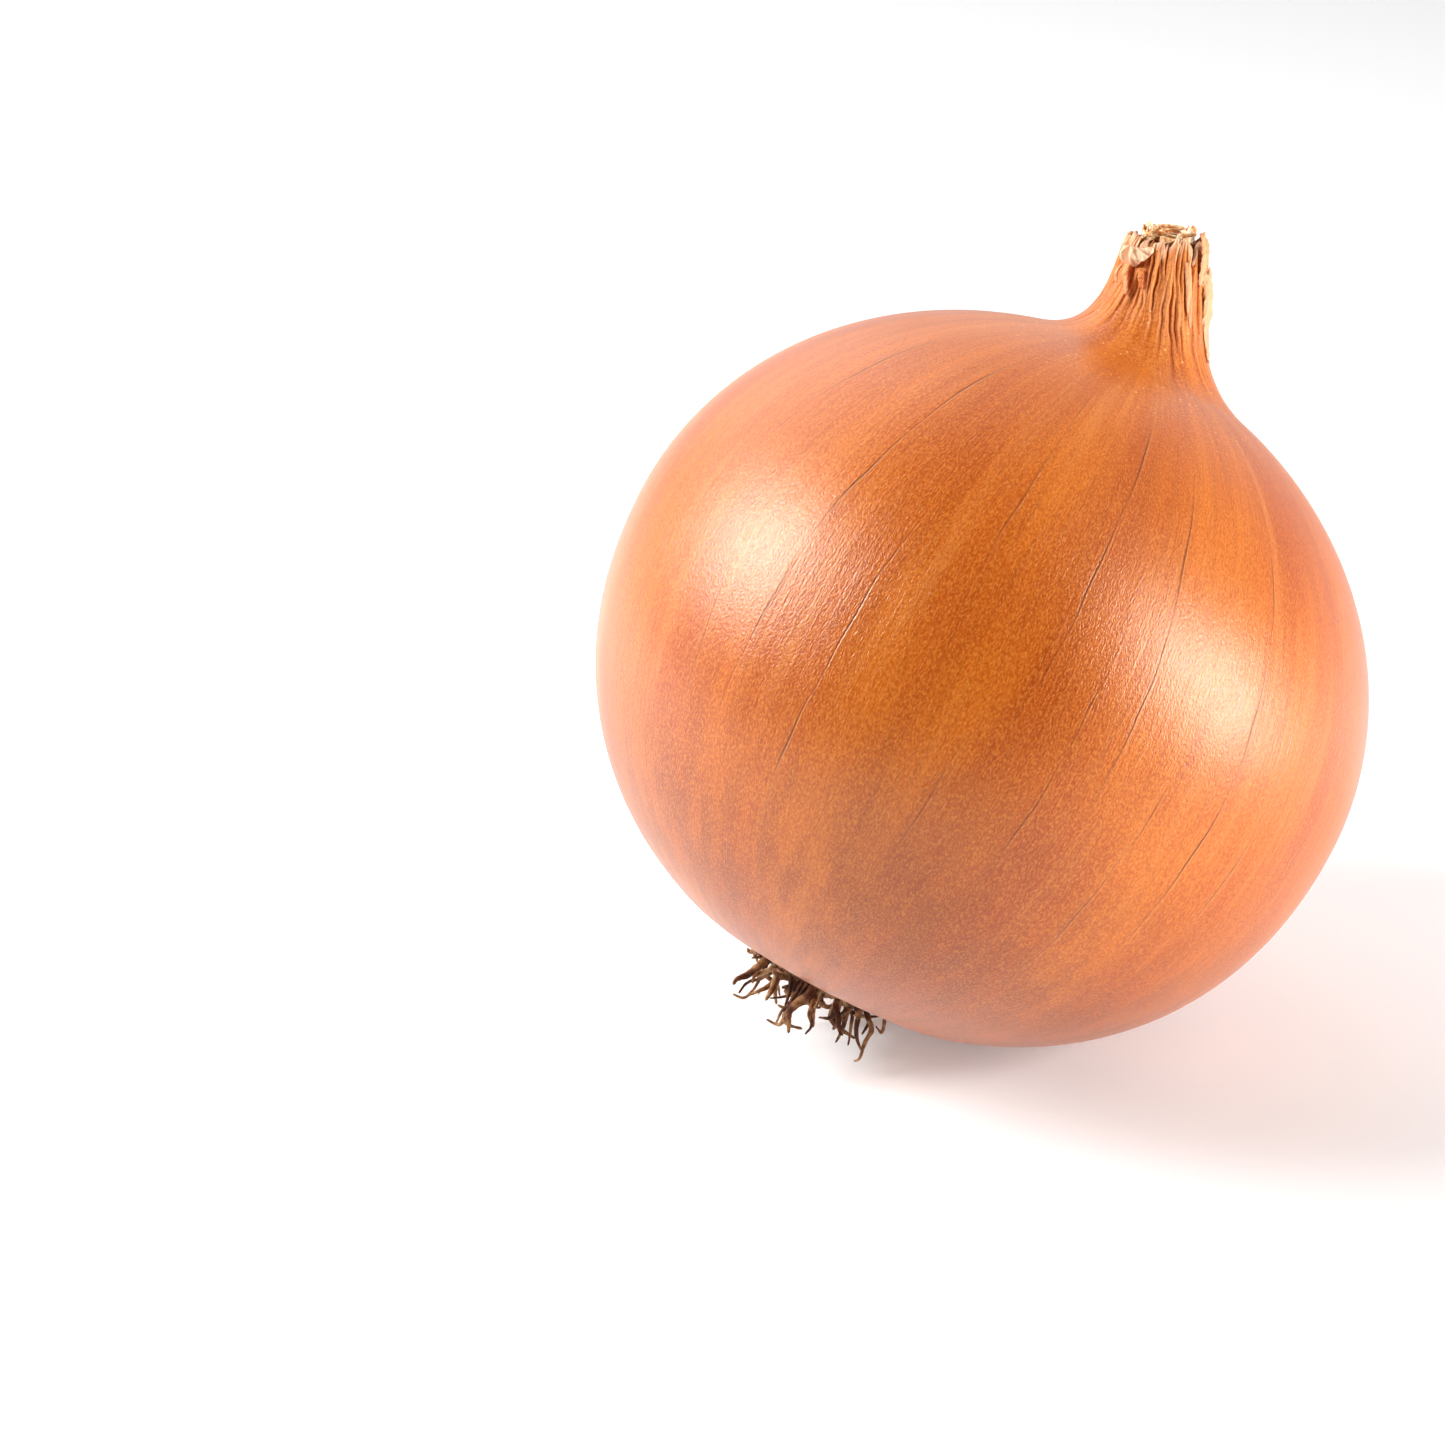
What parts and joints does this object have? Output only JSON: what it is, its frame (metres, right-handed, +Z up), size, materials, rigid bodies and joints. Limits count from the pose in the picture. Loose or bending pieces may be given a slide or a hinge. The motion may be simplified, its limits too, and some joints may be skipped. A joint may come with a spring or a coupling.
{
  "type": "onion",
  "caption": "Whole brown onion lying on its side: globe bulb in papery skin, dry ribbed neck with leaf ends, and a tuft of dry roots.",
  "frame": {"origin": "centre of the small flat spot on the belly that the onion rests on", "axes": "+Z up, away from the table; the neck leans about 32 degrees from upright, mostly towards +X and a little towards +Y"},
  "size_m": [0.0793, 0.0798, 0.0815],
  "materials": {
    "dry_skin": "satin papery onion skin, copper brown, with a fine cell grain that runs from root to neck",
    "dry_leaf": "matt straw-coloured dry leaf, fibrous",
    "dry_root": "matt dry root fibre, brown to tan"
  },
  "bodies": {
    "root": {"bulb": "dry_skin", "neck_leaf_ends": "dry_leaf", "root_tuft": "dry_root"}
  },
  "joints": []
}
